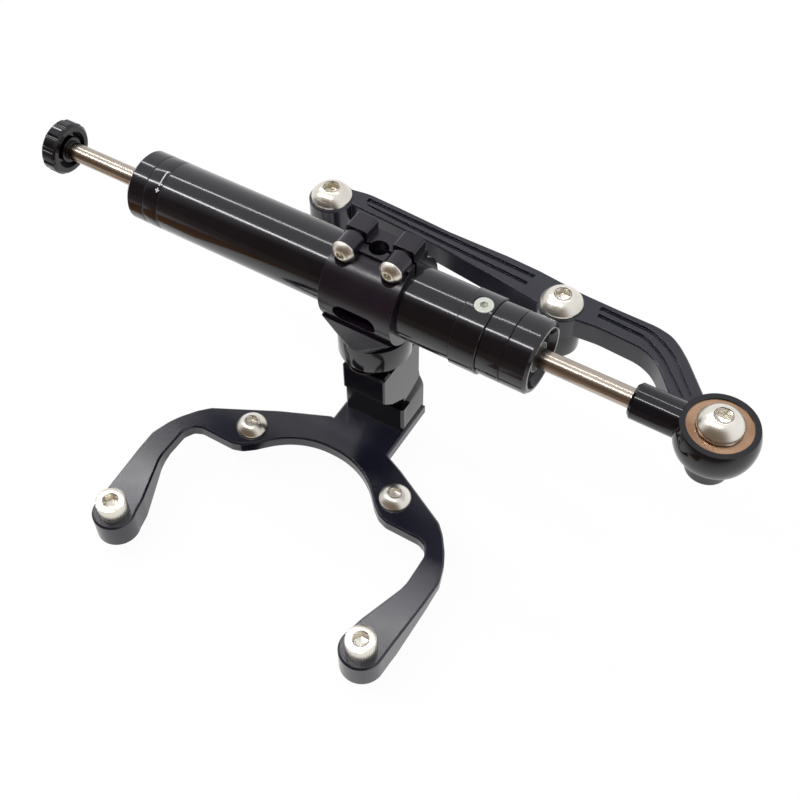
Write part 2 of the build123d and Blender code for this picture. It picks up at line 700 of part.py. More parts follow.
clip_right = piston_x + piston_l / 2 + 2 * shim_t
clip_left = piston_x - piston_l / 2 - 2 * shim_t - clip_t
clip_deep = clip_t / 3
with BuildPart() as piston_clips:
    turned_ring(clip_right, clip_t, rod_r - clip_deep + seat_gap, clip_r)
    turned_ring(clip_left, clip_t, rod_r - clip_deep + seat_gap, clip_r)

# Hollow rod, through the whole damper
rod_right = neck_face + rod_in_end
port_right = clip_right + 2 * clip_t + port_r
port_left = clip_left - clip_t - port_r
with BuildPart() as piston_rod:
    turned(((rod_left, 0), (rod_right, 0), (rod_right, rod_r - seam_bevel),
            (rod_right - seam_bevel, rod_r), (rod_left + seam_bevel, rod_r),
            (rod_left, rod_r - seam_bevel)))
    turned_groove(clip_right, clip_t, rod_r - clip_deep, rod_r + overrun)
    turned_groove(clip_left, clip_t, rod_r - clip_deep, rod_r + overrun)
    turned(((rod_left - overrun, 0), (piston_x, 0), (piston_x - needle_bore, needle_bore),
            (rod_left - overrun, needle_bore)), mode=Mode.SUBTRACT)
    with Locations((port_left, damper_y, damper_z), (port_right, damper_y, damper_z)):
        Cylinder(port_r, 2 * rod_r + overrun, mode=Mode.SUBTRACT)
    turned(((piston_x - needle_bore, 0), (port_right, 0), (port_right, port_r),
            (piston_x - needle_bore, port_r)), mode=Mode.SUBTRACT)

# Needle that the knob screws in and out, with its own O-ring
needle_r = needle_bore - run_gap
needle_start = rod_left + needle_sunk
needle_tip = piston_x - needle_gap
needle_ring_x = rod_left + rod_in_end
needle_cord = needle_r / 4
waist_start = port_left - port_r - 2 * needle_stroke
with BuildPart() as adjuster_needle:
    turned(((needle_start, 0), (needle_tip, 0), (needle_tip - needle_waist_r, needle_waist_r),
            (waist_start, needle_waist_r), (waist_start, needle_r), (needle_start, needle_r)))
    with BuildSketch(Plane(origin=(needle_start, damper_y, damper_z), x_dir=(0, 1, 0), z_dir=(1, 0, 0))):
        RegularPolygon(radius=needle_key, side_count=6, major_radius=False)
    extrude(amount=-needle_sunk - needle_drive)
    turned_groove(needle_ring_x, 2 * needle_cord, needle_r - needle_cord, needle_r + overrun)

with BuildPart() as needle_oring:
    cord_ring(needle_ring_x + needle_cord, needle_r - needle_cord / 2, needle_cord / 2 * ring_cord_share)

# Knob on the left end, with its screw
knob_left = knob_right - knob_l
knob_plane = Plane(origin=(knob_left, damper_y, damper_z), x_dir=(0, 1, 0), z_dir=(1, 0, 0))
knob_floor = rod_left - face_gap
with BuildPart() as adjuster_knob:
    with BuildSketch(knob_plane):
        Circle(knob_r)
        with PolarLocations(knob_r + flute_r * flute_out_share, knob_flutes):
            Circle(flute_r, mode=Mode.SUBTRACT)
    extrude(amount=knob_l)
    turned_groove(knob_floor, knob_l, 0, rod_r + face_gap)
    turned_groove(knob_right - knob_recess_deep, knob_recess_deep + overrun, knob_recess_in_r, knob_recess_r)
    turned_groove(knob_left - overrun, overrun + knob_screw_l, 0, knob_screw_r + seat_gap)
    with BuildSketch(knob_plane):
        RegularPolygon(radius=needle_key + run_gap, side_count=6, major_radius=False)
    extrude(amount=knob_l, mode=Mode.SUBTRACT)
    turned(((knob_left - overrun, knob_r + overrun), (knob_left - overrun, knob_r - edge_round),
            (knob_left, knob_r - edge_round), (knob_left + edge_round, knob_r),
            (knob_right - edge_round, knob_r), (knob_right, knob_r - edge_round),
            (knob_right + overrun, knob_r - edge_round), (knob_right + overrun, knob_r + overrun)),
           mode=Mode.SUBTRACT)

with BuildPart() as knob_screw:
    turned_ring(knob_left + seam_bevel, knob_screw_l - seam_bevel, 0, knob_screw_r)
    with BuildSketch(knob_plane):
        Rectangle(2 * knob_screw_r + overrun, knob_screw_r / 3)
    extrude(amount=seam_bevel + knob_screw_l / 3, mode=Mode.SUBTRACT)

# Rod end: neck and eye, bronze race, ball, bolt and spacer
eye_place = (rod_end_x, damper_y, damper_z)
eye_axis = Axis(eye_place, (0, 0, 1))
eye_plane = Plane(origin=eye_place, x_dir=(1, 0, 0), z_dir=(0, -1, 0))
with BuildPart() as rod_end:
    with BuildSketch(eye_plane):
        with BuildLine():
            Polyline((0, -eye_half), (eye_top_r, -eye_half))
            ThreePointArc((eye_top_r, -eye_half), (eye_r, 0), (eye_top_r, eye_half))
            Polyline((eye_top_r, eye_half), (0, eye_half), (0, -eye_half))
        make_face()
    revolve(axis=eye_axis)
    with BuildSketch(Plane(origin=(neck_face, damper_y, damper_z), x_dir=(0, 1, 0), z_dir=(1, 0, 0))):
        Circle(rod_end_neck_r)
    extrude(amount=rod_end_x - (race_r + eye_r) / 2 - neck_face)
    chamfer(rod_end.faces().sort_by(Axis.X)[0].outer_wire().edges(), length=edge_round)
    with Locations(eye_place):
        Cylinder(race_r + seat_gap, 2 * eye_half + overrun, mode=Mode.SUBTRACT)
    turned_groove(neck_face - overrun, overrun + rod_in_end + seam_bevel, 0, rod_r + seat_gap)

inner_r = ball_r + run_gap
race_open = (inner_r ** 2 - race_half ** 2) ** 0.5
with BuildPart() as bearing_race:
    with BuildSketch(eye_plane):
        with BuildLine():
            Polyline((race_open, -race_half), (race_r, -race_half), (race_r, race_half),
                     (race_open, race_half))
            ThreePointArc((race_open, race_half), (inner_r, 0), (race_open, -race_half))
        make_face()
    revolve(axis=eye_axis)

ball_flat = (ball_r ** 2 - ball_half ** 2) ** 0.5
ball_bore = end_bolt_r + run_gap
with BuildPart() as bearing_ball:
    with BuildSketch(eye_plane):
        with BuildLine():
            Polyline((ball_flat, ball_half), (ball_bore, ball_half), (ball_bore, -ball_half),
                     (ball_flat, -ball_half))
            ThreePointArc((ball_flat, -ball_half), (ball_r, 0), (ball_flat, ball_half))
        make_face()
    revolve(axis=eye_axis)

with BuildPart() as end_bolt:
    end_grip = 2 * ball_half + end_spacer_t
    button_bolt((rod_end_x, damper_y, damper_z + ball_half), (0, 0, 1), end_bolt_head_r,
                end_bolt_head_h, end_bolt_r, end_grip, end_grip + arm_t - face_gap,
                end_bolt_r * button_key_share, end_bolt_turn)

with BuildPart() as end_spacer:
    with BuildSketch(Plane.XY.offset(arm_top)):
        with Locations((rod_end_x, damper_y)):
            Circle(end_spacer_r)
            Circle(end_bolt_r + seat_gap, mode=Mode.SUBTRACT)
    extrude(amount=end_spacer_t)


# Steering arm with its bosses and the long grooves on top
def arm_point(pair):
    return (rod_end_x - pair[0] * arm_length, damper_y + pair[1] * arm_depth)


far_points = [arm_point(pair) for pair in arm_far_shares]
near_points = [arm_point(pair) for pair in arm_near_shares]
limb = Vector(*near_points[0]) + Vector(*far_points[-1]) - 2 * Vector(rod_end_x, damper_y)
limb = limb.normalized()
limb_side = Vector(limb.Y, -limb.X) * limb_half
end_far = (rod_end_x + limb_side.X, damper_y + limb_side.Y)
end_near = (rod_end_x - limb_side.X, damper_y - limb_side.Y)
bosses = ((rod_end_x, damper_y, arm_end_r), (arm_mid_x, arm_mid_y, arm_boss_r),
          (arm_far_x, arm_far_y, arm_boss_r))

with BuildPart() as steering_arm:
    with BuildSketch(Plane.XY.offset(arm_bottom)):
        with BuildLine():
            Polyline(*far_points, end_far, end_near, *near_points, close=True)
        make_face()
        for boss_x, boss_y, boss_r in bosses:
            with Locations((boss_x, boss_y)):
                Circle(boss_r)
    extrude(amount=arm_t)
    chamfer(steering_arm.faces().sort_by(Axis.Z)[-1].outer_wire().edges(), length=arm_bevel)
    with BuildSketch(Plane.XY.offset(arm_top)):
        for corners in left_groove_shares + right_far_shares:
            with BuildLine():
                Polyline(*[arm_point(pair) for pair in corners], close=True)
            make_face()
    extrude(amount=-groove_deep, mode=Mode.SUBTRACT)
    with Locations(*[(boss_x, boss_y, arm_bottom) for boss_x, boss_y, boss_r in bosses]):
        Cylinder(end_bolt_r + seat_gap, 2 * arm_t + overrun, mode=Mode.SUBTRACT)

with BuildPart() as arm_bolts:
    for boss_x, boss_y, boss_r in bosses[1:]:
        button_bolt((boss_x, boss_y, arm_top), (0, 0, 1), arm_bolt_head_r, arm_bolt_head_h, arm_bolt_r,
                    arm_t + spacer_l + shank_out, arm_t + spacer_l + bolt_out, arm_bolt_r * button_key_share)

with BuildPart() as arm_spacers:
    with BuildSketch(Plane.XY.offset(arm_bottom - spacer_l)):
        for boss_x, boss_y, boss_r in bosses[1:]:
            with Locations((boss_x, boss_y)):
                Circle(spacer_r)
                Circle(arm_bolt_r + seat_gap, mode=Mode.SUBTRACT)
    extrude(amount=spacer_l)

# Names and files
tank_bracket.part.label = "tank_bracket"
export_step(tank_bracket.part, "parts/tank_bracket.step")
bracket_post.part.label = "bracket_post"
export_step(bracket_post.part, "parts/bracket_post.step")
post_screws.part.label = "post_screws"
export_step(post_screws.part, "parts/post_screws.step")
shoulder_bolts.part.label = "shoulder_bolts"
export_step(shoulder_bolts.part, "parts/shoulder_bolts.step")
tip_screws.part.label = "tip_screws"
export_step(tip_screws.part, "parts/tip_screws.step")
swivel_bushes.part.label = "swivel_bushes"
export_step(swivel_bushes.part, "parts/swivel_bushes.step")
swivel_bolt.part.label = "swivel_bolt"
export_step(swivel_bolt.part, "parts/swivel_bolt.step")
swivel_neck.part.label = "swivel_neck"
export_step(swivel_neck.part, "parts/swivel_neck.step")
damper_clamp.part.label = "damper_clamp"
export_step(damper_clamp.part, "parts/damper_clamp.step")
clamp_screws.part.label = "clamp_screws"
export_step(clamp_screws.part, "parts/clamp_screws.step")
cylinder_tube.part.label = "cylinder_tube"
export_step(cylinder_tube.part, "parts/cylinder_tube.step")
rear_ring.part.label = "rear_ring"
export_step(rear_ring.part, "parts/rear_ring.step")
rear_cap.part.label = "rear_cap"
export_step(rear_cap.part, "parts/rear_cap.step")
filler_collar.part.label = "filler_collar"
export_step(filler_collar.part, "parts/filler_collar.step")
filler_plug.part.label = "filler_plug"
export_step(filler_plug.part, "parts/filler_plug.step")
reservoir_housing.part.label = "reservoir_housing"
export_step(reservoir_housing.part, "parts/reservoir_housing.step")
front_cap.part.label = "front_cap"
export_step(front_cap.part, "parts/front_cap.step")
bulkhead.part.label = "bulkhead"
export_step(bulkhead.part, "parts/bulkhead.step")
rod_bushes.part.label = "rod_bushes"
export_step(rod_bushes.part, "parts/rod_bushes.step")
rod_seals.part.label = "rod_seals"
export_step(rod_seals.part, "parts/rod_seals.step")
rod_wipers.part.label = "rod_wipers"
export_step(rod_wipers.part, "parts/rod_wipers.step")
gland_orings.part.label = "gland_orings"
export_step(gland_orings.part, "parts/gland_orings.step")
compensator_piston.part.label = "compensator_piston"
export_step(compensator_piston.part, "parts/compensator_piston.step")
compensator_oring.part.label = "compensator_oring"
export_step(compensator_oring.part, "parts/compensator_oring.step")
piston.part.label = "piston"
export_step(piston.part, "parts/piston.step")
piston_ring.part.label = "piston_ring"
export_step(piston_ring.part, "parts/piston_ring.step")
valve_shims.part.label = "valve_shims"
export_step(valve_shims.part, "parts/valve_shims.step")
piston_clips.part.label = "piston_clips"
export_step(piston_clips.part, "parts/piston_clips.step")
piston_rod.part.label = "piston_rod"
export_step(piston_rod.part, "parts/piston_rod.step")
adjuster_needle.part.label = "adjuster_needle"
export_step(adjuster_needle.part, "parts/adjuster_needle.step")
needle_oring.part.label = "needle_oring"
export_step(needle_oring.part, "parts/needle_oring.step")
adjuster_knob.part.label = "adjuster_knob"
export_step(adjuster_knob.part, "parts/adjuster_knob.step")
knob_screw.part.label = "knob_screw"
export_step(knob_screw.part, "parts/knob_screw.step")
rod_end.part.label = "rod_end"
export_step(rod_end.part, "parts/rod_end.step")
bearing_race.part.label = "bearing_race"
export_step(bearing_race.part, "parts/bearing_race.step")
bearing_ball.part.label = "bearing_ball"
export_step(bearing_ball.part, "parts/bearing_ball.step")
end_bolt.part.label = "end_bolt"
export_step(end_bolt.part, "parts/end_bolt.step")
end_spacer.part.label = "end_spacer"
export_step(end_spacer.part, "parts/end_spacer.step")
steering_arm.part.label = "steering_arm"
export_step(steering_arm.part, "parts/steering_arm.step")
arm_bolts.part.label = "arm_bolts"
export_step(arm_bolts.part, "parts/arm_bolts.step")
arm_spacers.part.label = "arm_spacers"
export_step(arm_spacers.part, "parts/arm_spacers.step")
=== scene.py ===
"""Steering damper kit dressed in Blender: anodised and coated aluminium, chromed rod, stainless screws, bronze race."""

import json
from math import cos, pi, radians, sin

import bmesh
import bpy
import numpy as np
from mathutils import Matrix, Vector


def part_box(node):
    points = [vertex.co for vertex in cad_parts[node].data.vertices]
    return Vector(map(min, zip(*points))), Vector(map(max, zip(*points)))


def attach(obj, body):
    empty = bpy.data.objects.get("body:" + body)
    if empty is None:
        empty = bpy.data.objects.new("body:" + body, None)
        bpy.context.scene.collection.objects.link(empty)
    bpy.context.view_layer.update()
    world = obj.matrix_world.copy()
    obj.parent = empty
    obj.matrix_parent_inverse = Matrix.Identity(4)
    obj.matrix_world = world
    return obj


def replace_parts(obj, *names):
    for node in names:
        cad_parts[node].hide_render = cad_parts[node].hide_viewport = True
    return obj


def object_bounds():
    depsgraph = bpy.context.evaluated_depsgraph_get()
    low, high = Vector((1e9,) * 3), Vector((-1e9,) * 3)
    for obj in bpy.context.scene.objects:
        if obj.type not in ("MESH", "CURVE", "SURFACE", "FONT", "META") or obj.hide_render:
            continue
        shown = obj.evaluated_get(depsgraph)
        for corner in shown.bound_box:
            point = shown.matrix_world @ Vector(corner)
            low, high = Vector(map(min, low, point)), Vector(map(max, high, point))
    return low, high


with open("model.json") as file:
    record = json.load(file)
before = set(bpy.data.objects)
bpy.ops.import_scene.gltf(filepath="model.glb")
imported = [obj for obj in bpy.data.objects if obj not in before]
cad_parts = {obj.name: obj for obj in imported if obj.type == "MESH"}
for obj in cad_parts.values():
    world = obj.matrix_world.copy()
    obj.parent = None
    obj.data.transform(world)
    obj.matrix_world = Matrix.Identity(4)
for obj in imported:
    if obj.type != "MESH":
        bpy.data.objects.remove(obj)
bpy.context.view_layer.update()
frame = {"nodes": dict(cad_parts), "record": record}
MM = 0.001
BODY_OF = {node: body for body, nodes in frame["record"]["behaviour"]["bodies"].items() for node in nodes}
SLOT_OF = {part["node"]: part["material_slot"] for part in frame["record"]["subparts"]}

# ---------------------------------------------------------------- sizes in millimetres that the frame doesn't give
EDGE_SOFTNESS = 0.3                     # broken edge of machined aluminium
SCREW_EDGE = 0.2
TURNED_EDGE = 0.25
FINE_EDGE = 0.15                        # small ground pieces, and the rim of a button head
CRISP_EDGE = 0.03                       # coated and bronze pieces, whose own mesh has the rounding
SPACER_EDGE = 0.5
SIDES = 96                              # facets round a turned piece; a multiple of six, for the hexagon's corners
KNURLED_SIDES = 216
MERGE = 1e-6                            # metres within which two points are one
TINY = 1e-6                             # keeps a division from zero and an equal size from a rounding error
# degrees from which an edge stays sharp
CAD_SHARP, TURNED_SHARP, SCREW_SHARP, ROD_SHARP, INK_SHARP = 30, 40, 35, 25, 32

# Screws: head radius and height, shank radius, thread pitch
M8_BUTTON, M8_CAP, M8_SHANK, M8_PITCH = (7.0, 4.4), (6.5, 8.0), 4.0, 1.25
M10_BUTTON, END_BUTTON, M10_SHANK, M10_PITCH = (8.75, 5.4), (8.75, 5.8), 5.0, 1.5
CLAMP_BUTTON, M5_SHANK, M5_PITCH = (5.0, 3.0), 2.5, 0.8
BUTTON_KEY, CAP_KEY = 0.6, 0.75         # half the hexagon's width over the shank's radius
SHOULDER_HELD = 5.5                     # plate under the shoulder bolts
DOME_ROWS, DOME_RIM, DOME_CROWN, DOME_POWER = 14, 0.2, 0.36, 1.9    # button: rim over the height, crown over the radius
CAP_EDGE = 0.8                          # broken top edge of the cap screws
CAP_BEND = (0.35, 0.25)                 # the edge's middle: this share of it down from the top and in from the side
CAP_FOOT_IN, CAP_FOOT_UP = 0.1, 0.2     # small chamfer under the cap; the same height is left over its knurl
KNURL, KNURL_WAVES = 0.12, 18           # depth, and half the ridges round the head
SOCKET_SHARE = 0.6                      # socket depth over the head's height
SOCKET_MOUTH, SOCKET_CHAMFER = 1.2, 0.16    # mouth's radius and chamfer over the hexagon's
SOCKET_POINT, SOCKET_TIP = 1.2, 0.05    # drilled floor's depth over the socket's, its tip's radius over the hexagon's
SOCKET_LIP = 0.02
THREAD_UNDER = 0.2                      # a thread's crest is this much under the plain shank
THREAD_DEPTH, THREAD_ROWS, THREAD_TAPER = 0.6, 8, 1.5   # over the pitch; rows in one; turns that taper to the tip
TOOTH_TOP, TOOTH_SLOPE = 1.25, 2.6      # the tooth's point, cut off at 1, and the fall of its flanks in one turn
SHANK_OUT = 0.5                         # plain shank that still shows beyond what the screw holds

# Post and collar, where the photographed forms part from the solids
NOSE_R = 9.8                            # round nose of the solid post
NOSE_LEFT, NOSE_RIGHT, NOSE_FRONT = 8.0, 12.3, 6.6      # its flat walls lie this far from the swivel's axis
NOSE_BOTTOM = 46.4
BUSH_SEAT_R = 8.2                       # nothing nearer to the axis moves
COLUMN_FRONT, FLARE_FRONT = 32.0, 38.5  # the column's front, and how far back its flared sides start
UNDER_FRONT, UNDER_BACK = 43.4, 29.4    # the nose's underside slopes between these levels, as a gusset
FOOT_TOP = 24.1
NEAR = 0.1                              # a point this near to a level or a wall lies on it
AHEAD = 0.01                            # the nose's wall is what lies more than this before the axis
COLLAR_R, COLLAR_BOTTOM, COLLAR_TOP = 15.6, 61.5, 73.9  # wide turned collar over the neck, under the clamp's middle

# Corners of the plates' outlines that become curves
BRACKET_ROUNDING, ARM_ROUNDING, ROUNDING_STEPS = 5.0, 4.0, 6
FLAT_WITHIN = 0.4                       # degrees between facets that make one wall
BLUNT_LEAST, BLUNT_MOST = 4, 40         # degrees between the walls of such a corner
WALL_LEAST = 2.2                        # a narrower wall is already part of a curve
UPRIGHT = 0.5                           # least share of an upright corner's run that points up

BORE = 11.5                             # inside of the cylinder and its rings
ROD_BORE, ROD_HOLLOW, ROD_CHAMFER = 1.7, 12.0, 0.35
SPACER_R, SPACER_BORE = 9.2, 5.02
INK_LIFT, INK_STEPS = 0.02, 12          # printing stands this much off the metal; points along a strip
MARK_IN = 1.4                           # the adjuster's mark stands this far in from its ring's right end
STROKE, PLUS_REACH = 0.25, 1.0          # half a stroke's width, half the plus sign's


# ---------------------------------------------------------------- surfaces
def mesh_piece(name, points, material, node, sharp, wrap=True, uv=None, replace=True):
    """A piece from a grid of points, rows by columns; columns close into a ring when wrap is set.
    Quad (i, j) joins points (i, j), (i, j+1), (i+1, j+1) and (i+1, j)."""
    rows, columns = points.shape[:2]
    i, j = np.meshgrid(np.arange(rows - 1), np.arange(columns if wrap else columns - 1), indexing="ij")
    k = (j + 1) % columns
    quads = np.stack((i * columns + j, i * columns + k, (i + 1) * columns + k, (i + 1) * columns + j), -1)
    mesh = bpy.data.meshes.new(name)
    mesh.from_pydata(points.reshape(-1, 3), [], quads.reshape(-1, 4))
    if uv is not None:
        round_way = np.stack((j, j + 1, j + 1, j), -1).reshape(-1) / columns
        row = np.stack((i, i, i + 1, i + 1), -1).reshape(-1)
        layer = mesh.uv_layers.new(name="turning")
        layer.data.foreach_set("uv", np.stack((round_way, uv[row]), -1).astype(np.float32).reshape(-1))
    return finish_piece(name, mesh, material, node, sharp, replace)


def finish_piece(name, mesh, material, node, sharp, replace=True):
    """Merge doubled points, turn the faces outwards, smooth all but the sharp edges, and put the piece on its body."""
    form = bmesh.new()
    form.from_mesh(mesh)
    bmesh.ops.remove_doubles(form, verts=form.verts, dist=MERGE)
    if replace:
        bmesh.ops.recalc_face_normals(form, faces=form.faces)
    form.to_mesh(mesh)
    form.free()
    mesh.shade_smooth()
    mesh.set_sharp_from_angle(angle=radians(sharp))
    mesh.materials.append(material)
    piece = bpy.data.objects.new(name, mesh)
    bpy.context.scene.collection.objects.link(piece)
    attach(piece, BODY_OF[node])
    if replace:
        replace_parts(piece, node)
    return piece


def join(name, pieces):
    """Several meshes on one body become one object."""
    with bpy.context.temp_override(active_object=pieces[0], selected_editable_objects=pieces):
        bpy.ops.object.join()
    pieces[0].name = name
    return pieces[0]


def cornered(profile, softness):
    """Each corner of the profile becomes a short curve: (1-t)^2 A + 2t(1-t) P + t^2 B, where A and B lie softness away
    from the corner P along its two sides, or at a third of a shorter side."""
    points = np.array(profile, float)
    before, corner, after = points[:-2], points[1:-1], points[2:]
    reach = [np.linalg.norm(other - corner, axis=1, keepdims=True) for other in (before, after)]
    begin, end = (corner + (other - corner) / length * np.minimum(softness, length / 3)
                  for other, length in zip((before, after), reach))
    t = np.array((0, 0.35, 0.65, 1))[None, :, None]
    curve = (1 - t) ** 2 * begin[:, None] + 2 * t * (1 - t) * corner[:, None] + t ** 2 * end[:, None]
    return np.vstack((points[:1], curve.reshape(-1, 2), points[-1:]))


def turn(profile, place, axis, outline=None, sides=SIDES):
    """Turned surface: place + axis * h + (u cos a + v sin a) * r * outline(a), for each pair (h, r) of the profile.
    The outline is 1 for a round row; rows and columns of the result follow the profile and the angle. The second
    result is the length run along the profile."""
    profile = np.asarray(profile, float)
    axis = np.array(axis, float)
    u = np.array((1, 0, 0)) if abs(axis[0]) < 0.5 else np.array((0, 1, 0))
    v = np.cross(axis, u)
    a = np.arange(sides) * 2 * pi / sides
    spoke = np.cos(a)[:, None] * u + np.sin(a)[:, None] * v
    reach = profile[:, 1, None] * (np.ones((len(profile), sides)) if outline is None else outline(a))
    points = np.array(place) + profile[:, 0, None, None] * axis + reach[..., None] * spoke
    run = np.concatenate(((0,), np.cumsum(np.linalg.norm(np.diff(profile, axis=0), axis=1))))
    return points * MM, run


def dressed(node, material, rounding=None, reshape=None):
    """A merged, smooth-shaded copy of the CAD node stands for it. With a rounding, the blunt corners of its outline
    become curves that start this many millimetres from the corner; reshape moves the copy's points, in
    millimetres."""
    source = frame["nodes"][node].data
    source.calc_loop_triangles()
    points = np.array([corner.co for corner in source.vertices]) / MM
    if reshape:
        points = reshape(points)
    mesh = bpy.data.meshes.new(node + "_machined")
    mesh.from_pydata(points * MM, [], [tuple(face.vertices) for face in source.loop_triangles])
    if rounding:
        form = bmesh.new()
        form.from_mesh(mesh)
        bmesh.ops.remove_doubles(form, verts=form.verts, dist=MERGE)
        bmesh.ops.dissolve_limit(form, angle_limit=radians(FLAT_WITHIN), verts=form.verts, edges=form.edges)
        blunt = [edge for edge in form.edges if len(edge.link_faces) == 2
                 and abs((edge.verts[0].co - edge.verts[1].co).normalized().z) > UPRIGHT
                 and radians(BLUNT_LEAST) < abs(edge.calc_face_angle(0)) < radians(BLUNT_MOST)
                 and min(width(face, edge) for face in edge.link_faces) > WALL_LEAST * MM]
        bmesh.ops.bevel(form, geom=blunt, offset=rounding * MM, segments=ROUNDING_STEPS, profile=0.5,
                        affect="EDGES", clamp_overlap=True)
        form.to_mesh(mesh)
        form.free()
    return finish_piece(node + "_machined", mesh, material, node, CAD_SHARP)


def width(face, edge):
    """How far a face reaches from one of its edges, measured across the edge."""
    origin = edge.verts[0].co
    way = (edge.verts[1].co - origin).normalized()
    return max(((corner.co - origin) - way * (corner.co - origin).dot(way)).length for corner in face.verts)


def box_mm(node):
    """Lower and upper corner of a node, in millimetres."""
    return tuple(np.array(corner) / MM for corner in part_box(node))


def thickness(node):
    """Height of a flat piece."""
    low, high = box_mm(node)
    return high[2] - low[2]


# ---------------------------------------------------------------- materials
TURNING_WAVES = 14.0                    # of the grain, once round a turned piece
GRAIN_DETAIL, DRIFT_DETAIL, DRIFT_SCALE = 3.0, 4.0, 45.0
DARK_AT, LIGHT_AT = 0.45, 1.05          # values of grain * drift + drift at which a finish has its two tones
RELIEF = 0.02                           # millimetres of grain in the bump
WEAR_FROM, WEAR_FULL, WEAR_SHARE = 0.985, 0.80, 0.5     # cosines between the two normals, and the wear's most


def linear(code):
    """sRGB hex to linear RGBA."""
    channels = np.array([int(code[i:i + 2], 16) for i in (1, 3, 5)]) / 255
    values = np.where(channels <= 0.04045, channels / 12.92, ((channels + 0.055) / 1.055) ** 2.4)
    return (*values.tolist(), 1.0)


def add(tree, kind, inputs=(), **settings):
    """One node with its settings; inputs maps sockets to values or to the sockets that feed them."""
    node = tree.nodes.new(kind)
    for key, value in settings.items():
        setattr(node, key, value)
    for socket, value in dict(inputs).items():
        if isinstance(value, bpy.types.NodeSocket):
            tree.links.new(value, node.inputs[socket])
        else:
            node.inputs[socket].default_value = value
    return node


def start(name):
    """An empty material with its output and object coordinates."""
    material = bpy.data.materials.new(name)
    material.use_nodes = True
    tree = material.node_tree
    tree.nodes.clear()
    return material, tree, add(tree, "ShaderNodeOutputMaterial"), add(tree, "ShaderNodeTexCoord")


def blended(tree, factor, first, second):
    """A colour between two; each is a hex code or the socket of a colour."""
    node = add(tree, "ShaderNodeMix", {"Factor": factor}, data_type="RGBA")
    for socket, colour in ((6, first), (7, second)):
        if isinstance(colour, str):
            node.inputs[socket].default_value = linear(colour)
        else:
            tree.links.new(colour, node.inputs[socket])
    return node.outputs[2]


def machined(name, dark, light, metallic, rough, grain_mm, bump, edge_mm, stretch=(1, 1, 1), worn=None,
             specular=0.5, turning=False):
    """A finished surface: fine grain as bump, softened edges, and a tone and roughness that follow
    grain * drift + drift, where drift is a noise over centimetres. Stretch draws the grain out along an axis, as a
    cutter or a brush does; turning runs it round a turned piece."""
    material, tree, output, coordinates = start(name)
    scale = (TURNING_WAVES, 1.0 / grain_mm, 1.0) if turning else tuple(1000.0 / grain_mm / s for s in stretch)
    grain_place = add(tree, "ShaderNodeMapping",
                      {"Vector": coordinates.outputs["UV" if turning else "Object"], "Scale": scale})
    grain = add(tree, "ShaderNodeTexNoise", {"Vector": grain_place.outputs[0], "Scale": 1.0, "Detail": GRAIN_DETAIL})
    drift = add(tree, "ShaderNodeTexNoise",
                {"Vector": coordinates.outputs["Object"], "Scale": DRIFT_SCALE, "Detail": DRIFT_DETAIL})
    blend = add(tree, "ShaderNodeMath",
                {0: grain.outputs["Fac"], 1: drift.outputs["Fac"], 2: drift.outputs["Fac"]}, operation="MULTIPLY_ADD")
    span = {"Value": blend.outputs[0], "From Min": DARK_AT, "From Max": LIGHT_AT}
    tone = add(tree, "ShaderNodeMapRange", span)
    roughness = add(tree, "ShaderNodeMapRange", {**span, "To Min": rough[0], "To Max": rough[1]})
    colour = blended(tree, tone.outputs[0], dark, light)
    edge = add(tree, "ShaderNodeBevel", {"Radius": edge_mm * MM}, samples=6)
    relief = add(tree, "ShaderNodeBump", {"Strength": bump, "Distance": RELIEF * MM, "Height": grain.outputs["Fac"],
                                          "Normal": edge.outputs[0]})
    surface = add(tree, "ShaderNodeBsdfPrincipled",
                  {"Metallic": metallic, "Roughness": roughness.outputs[0], "Normal": relief.outputs[0],
                   "Specular IOR Level": specular})
    if worn:
        # handling wears the finish thin along the edges: where the bevelled and the true normal part
        shape = add(tree, "ShaderNodeNewGeometry")
        apart = add(tree, "ShaderNodeVectorMath", {0: edge.outputs[0], 1: shape.outputs["Normal"]},
                    operation="DOT_PRODUCT")
        rub = add(tree, "ShaderNodeMapRange", {"Value": apart.outputs["Value"], "From Min": WEAR_FROM,
                                               "From Max": WEAR_FULL, "To Min": 0.0, "To Max": WEAR_SHARE})
        patch = add(tree, "ShaderNodeMath", {0: rub.outputs[0], 1: drift.outputs["Fac"]}, operation="MULTIPLY")
        colour = blended(tree, patch.outputs[0], colour, worn)
    tree.links.new(colour, surface.inputs["Base Color"])
    tree.links.new(surface.outputs[0], output.inputs["Surface"])
    return material


def printing_ink(name, thin, full):
    """Pale ink, thinner in spots, on the anodised ring."""
    material, tree, output, coordinates = start(name)
    grain = add(tree, "ShaderNodeTexNoise", {"Vector": coordinates.outputs["Object"], "Scale": 2500.0})
    tone = add(tree, "ShaderNodeMapRange", {"Value": grain.outputs["Fac"], "To Min": 0.75, "To Max": 1.0})
    surface = add(tree, "ShaderNodeBsdfPrincipled",
                  {"Base Color": blended(tree, tone.outputs[0], thin, full), "Roughness": 0.45})
    tree.links.new(surface.outputs[0], output.inputs["Surface"])
    return material


# Hard black anodising over milled aluminium: dark with a cold cast, glossy, grey where it mirrors the table
black_anodised = machined("black_anodised_milled", "#12121d", "#1d1d2a", metallic=0.0, rough=(0.16, 0.22),
                          grain_mm=0.5, bump=0.02, edge_mm=EDGE_SOFTNESS, stretch=(3, 1, 1), worn="#3c3c46",
                          specular=0.6)
# The same dye, deeper and smoother, on the turned cylinder and the finely cut post
black_turned = machined("black_anodised_turned", "#08070d", "#0e0d15", metallic=0.0, rough=(0.10, 0.14),
                        grain_mm=0.35, bump=0.01, edge_mm=TURNED_EDGE, stretch=(1, 12, 12), specular=0.6)
